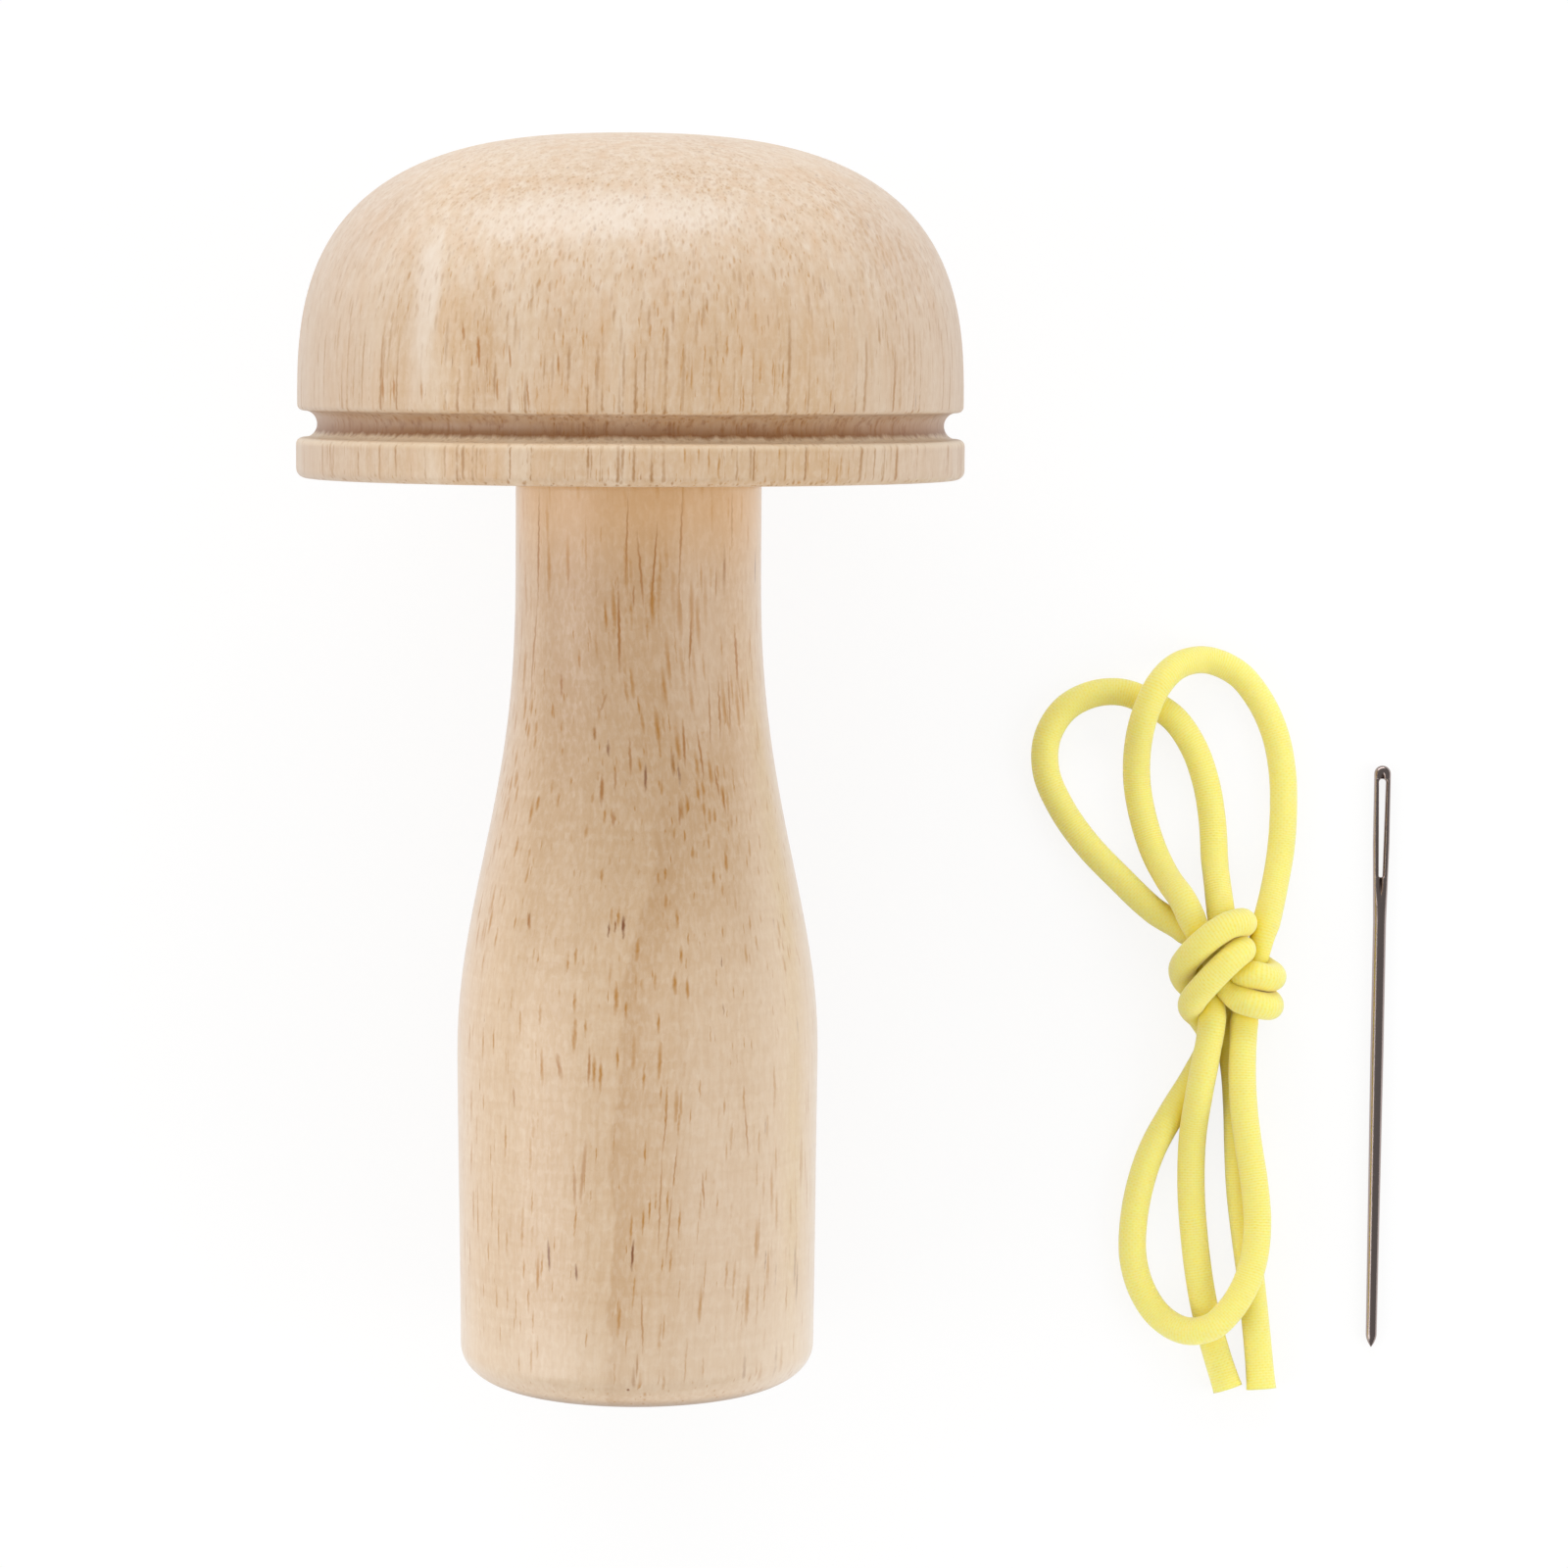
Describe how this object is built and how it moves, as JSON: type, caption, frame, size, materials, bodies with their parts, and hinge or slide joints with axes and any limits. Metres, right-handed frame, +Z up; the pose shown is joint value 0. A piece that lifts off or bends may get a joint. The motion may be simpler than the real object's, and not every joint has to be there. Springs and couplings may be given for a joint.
{
  "type": "wooden darner",
  "caption": "Turned wooden darning mushroom: a domed head with a groove for an elastic, glued on a bottle-shaped handle, with a loose knotted elastic and a long-eyed needle",
  "frame": {"origin": "on the table, under the middle of the darner's flat foot", "axes": "+Z up from the table; +Y along the darner from its foot to its head; +X to the right, towards the elastic and the needle; the darner's own turned axis rises 9.89 degrees from +Y"},
  "size_m": [0.1189, 0.1339, 0.071],
  "materials": {
    "head_wood": "sanded and waxed, satin",
    "handle_wood": "sanded and waxed, satin",
    "elastic_cover": "braided cover, matt",
    "needle_metal": "nickel plated, polished"
  },
  "bodies": {
    "darner": {"head": "head_wood", "handle": "handle_wood"},
    "elastic": {"elastic_cord": "elastic_cover"},
    "needle": {"darning_needle": "needle_metal"}
  },
  "joints": [
    {"name": "elastic_lift", "type": "slide", "parent": "darner", "child": "elastic", "axis": [0, 0, 1], "range_m": [0, 0.05]},
    {"name": "needle_lift", "type": "slide", "parent": "darner", "child": "needle", "axis": [0, 0, 1], "range_m": [0, 0.05]}
  ]
}
